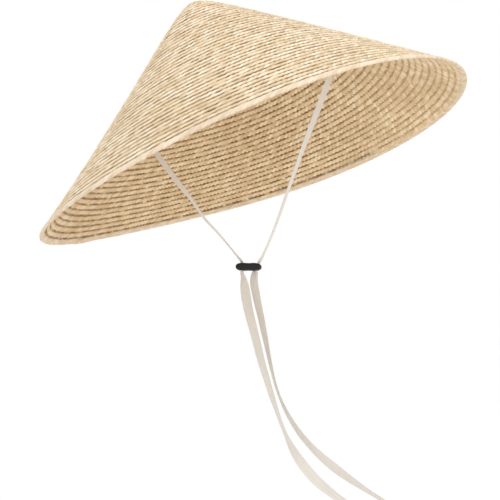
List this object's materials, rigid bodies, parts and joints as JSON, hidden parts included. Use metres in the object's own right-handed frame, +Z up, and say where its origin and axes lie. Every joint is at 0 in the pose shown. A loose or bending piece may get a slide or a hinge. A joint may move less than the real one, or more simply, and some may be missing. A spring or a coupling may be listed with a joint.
{
  "type": "conical hat",
  "caption": "Conical sewn-straw sun hat with a cloth headband and a ribbon chin strap that tightens with a small slider.",
  "frame": {"origin": "centre of the headband's lower edge, where the hat meets the head", "axes": "+Z up along the cone to the tip, -Y towards the wearer's front, +X towards the wearer's left"},
  "size_m": [0.4206, 0.4206, 0.5435],
  "materials": {
    "straw": "plaited natural straw, matte with a slight gloss on each strand",
    "straw_edge": "thicker smooth plaited straw row",
    "band": "woven cotton tape, matte",
    "thread": "cotton sewing thread",
    "ribbon": "thin woven ribbon, faint lengthwise lines",
    "plastic": "black moulded plastic, slightly glossy"
  },
  "bodies": {
    "hat": {"tip_coil": "straw", "straw_cone": "straw", "rim_row": "straw_edge", "sweatband": "band", "sweatband_stitching": "thread", "sweatband_join": "band", "right_ribbon_end": "ribbon", "left_ribbon_end": "ribbon", "right_ribbon_tack": "thread", "left_ribbon_tack": "thread"},
    "strap": {"right_strap_leg": "ribbon", "left_strap_leg": "ribbon", "right_tail_top": "ribbon", "left_tail_top": "ribbon"},
    "slider": {"slider": "plastic"},
    "right_tail": {"right_tail": "ribbon"},
    "left_tail": {"left_tail": "ribbon"}
  },
  "joints": [
    {"name": "strap_swing", "type": "hinge", "parent": "hat", "child": "strap", "pos_m": [-0.1002, 0, 0.003], "axis": [0.9996, 0, -0.0269], "range_deg": [-60, 60], "deforming": ["right_strap_leg", "left_strap_leg"]},
    {"name": "slider_travel", "type": "slide", "parent": "strap", "child": "slider", "axis": [0.196, 0, 0.9806], "range_m": [-0.06, 0.08], "deforming": ["right_tail_top", "left_tail_top"]},
    {"name": "right_tail_swing", "type": "hinge", "parent": "strap", "child": "right_tail", "pos_m": [-0.0677, -0.003, -0.262], "axis": [1, 0, 0], "range_deg": [-45, 45], "deforming": ["right_tail"]},
    {"name": "left_tail_swing", "type": "hinge", "parent": "strap", "child": "left_tail", "pos_m": [-0.0606, 0.003, -0.262], "axis": [1, 0, 0], "range_deg": [-45, 45], "deforming": ["left_tail"]}
  ]
}
